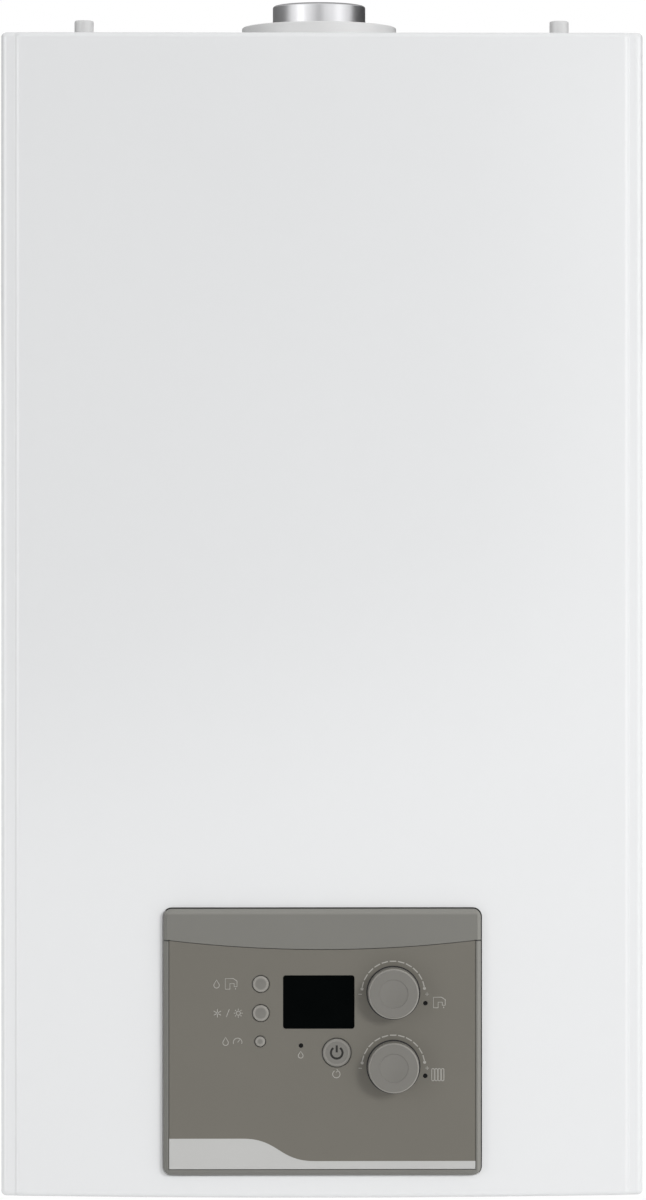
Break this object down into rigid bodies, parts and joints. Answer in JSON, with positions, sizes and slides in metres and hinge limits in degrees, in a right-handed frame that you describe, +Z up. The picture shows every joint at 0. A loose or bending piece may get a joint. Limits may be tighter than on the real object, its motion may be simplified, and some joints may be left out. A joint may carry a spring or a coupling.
{
  "type": "gas boiler",
  "caption": "Wall-hung gas combi boiler: white pressed case, grey control panel with knobs, buttons and dark display, round flue outlet in an air collar on top, pipe connections below.",
  "frame": {"origin": "middle of the two wall-bracket screw holes, on the wall plane", "axes": "+Z up, +Y into the wall, the front faces -Y, +X to the right seen from the front"},
  "size_m": [0.4, 0.3195, 0.7727],
  "materials": {
    "white_enamel": "smooth white powder coat, satin gloss",
    "galvanised": "galvanised sheet",
    "zinc_screw": "zinc plate",
    "pale_plastic": "light grey moulded plastic",
    "bright_metal": "bright turned metal",
    "grey_fascia": "warm grey satin plastic",
    "grey_control": "warm grey satin plastic",
    "pale_strip": "light grey satin print",
    "black_window": "gloss black",
    "dark_plastic": "moulded black plastic",
    "circuit_board": "green board lacquer",
    "sight_glass": "clear glass",
    "soft_seal": "foam rubber",
    "fan_metal": "bare metal",
    "copper": "drawn copper",
    "fibre_lining": "ceramic fibre board",
    "white_ceramic": "white ceramic",
    "brass": "turned brass",
    "pump_iron": "dark painted casting",
    "plate_steel": "brazed stainless plates",
    "red_enamel": "red coat",
    "blue_plastic": "moulded plastic"
  },
  "bodies": {
    "boiler": {"accent_strip": "pale_strip", "air_pressure_switch": "dark_plastic", "back_panel": "galvanised", "bottom_rail": "galvanised", "burner": "fan_metal", "burner_manifold": "brass", "button_switches": "dark_plastic", "casing_screws": "zinc_screw", "chamber_cover": "galvanised", "circulation_pump": "pump_iron", "cold_water_pipe": "brass", "combustion_shroud": "fibre_lining", "connection_bracket": "galvanised", "control_bezel": "grey_fascia", "control_board": "circuit_board", "control_box": "dark_plastic", "control_fascia": "grey_fascia", "cover_locating_pins": "pale_plastic", "display_module": "dark_plastic", "display_window": "black_window", "diverter_valve": "brass", "electrodes": "white_ceramic", "expansion_vessel": "red_enamel", "fan_housing": "galvanised", "fan_motor": "dark_plastic", "filling_tap": "brass", "flow_pipe": "copper", "flue_collar": "pale_plastic", "flue_gasket": "soft_seal", "flue_hood": "galvanised", "flue_spigot": "bright_metal", "gas_feed_pipe": "copper", "gas_inlet_pipe": "brass", "gas_valve": "fan_metal", "heat_exchanger": "copper", "heating_connections": "brass", "hot_water_pipe": "brass", "indicator_lenses": "black_window", "knob_encoders": "dark_plastic", "left_side_panel": "white_enamel", "plate_heat_exchanger": "plate_steel", "primary_pipes": "copper", "return_pipe": "copper", "right_side_panel": "white_enamel", "safety_valve": "brass", "sealed_chamber": "galvanised", "sight_glass": "sight_glass", "top_panel": "white_enamel", "vessel_pipe": "copper", "wall_bracket": "galvanised"},
    "front_cover": {"front_cover": "white_enamel"},
    "dhw_knob": {"dhw_knob": "grey_control"},
    "heating_knob": {"heating_knob": "grey_control"},
    "eco_button": {"eco_button": "grey_control"},
    "season_button": {"season_button": "grey_control"},
    "pressure_button": {"pressure_button": "grey_control"},
    "power_button": {"power_button": "grey_control"},
    "fan_rotor": {"fan_impeller": "fan_metal"},
    "filling_handle": {"filling_tap_handle": "blue_plastic"},
    "safety_knob": {"safety_valve_knob": "red_enamel"}
  },
  "joints": [
    {"name": "front_cover_pull", "type": "slide", "parent": "boiler", "child": "front_cover", "axis": [0, -1, 0], "range_m": [0, 0.15]},
    {"name": "dhw_knob_turn", "type": "hinge", "parent": "boiler", "child": "dhw_knob", "pos_m": [0.0441, -0.306, -0.53815], "axis": [0, 1, 0], "range_deg": [-82.5, 82.5]},
    {"name": "heating_knob_turn", "type": "hinge", "parent": "boiler", "child": "heating_knob", "pos_m": [0.0442, -0.306, -0.58415], "axis": [0, 1, 0], "range_deg": [-82.5, 82.5]},
    {"name": "eco_button_press", "type": "slide", "parent": "boiler", "child": "eco_button", "axis": [0, 1, 0], "range_m": [0, 0.0012], "stiffness_N_per_m": 800},
    {"name": "season_button_press", "type": "slide", "parent": "boiler", "child": "season_button", "axis": [0, 1, 0], "range_m": [0, 0.0012], "stiffness_N_per_m": 800},
    {"name": "pressure_button_press", "type": "slide", "parent": "boiler", "child": "pressure_button", "axis": [0, 1, 0], "range_m": [0, 0.0012], "stiffness_N_per_m": 800},
    {"name": "power_button_press", "type": "slide", "parent": "boiler", "child": "power_button", "axis": [0, 1, 0], "range_m": [0, 0.0012], "stiffness_N_per_m": 800},
    {"name": "fan_spin", "type": "hinge", "parent": "boiler", "child": "fan_rotor", "pos_m": [-0.06, -0.15, -0.0765], "axis": [0, 1, 0], "continuous": true},
    {"name": "filling_tap_turn", "type": "hinge", "parent": "boiler", "child": "filling_handle", "pos_m": [0.0965, -0.124, -0.6355], "axis": [0, -1, 0], "range_deg": [0, 90]},
    {"name": "safety_knob_turn", "type": "hinge", "parent": "boiler", "child": "safety_knob", "pos_m": [-0.163, -0.115, -0.584], "axis": [-1, 0, 0], "range_deg": [0, 90]}
  ]
}
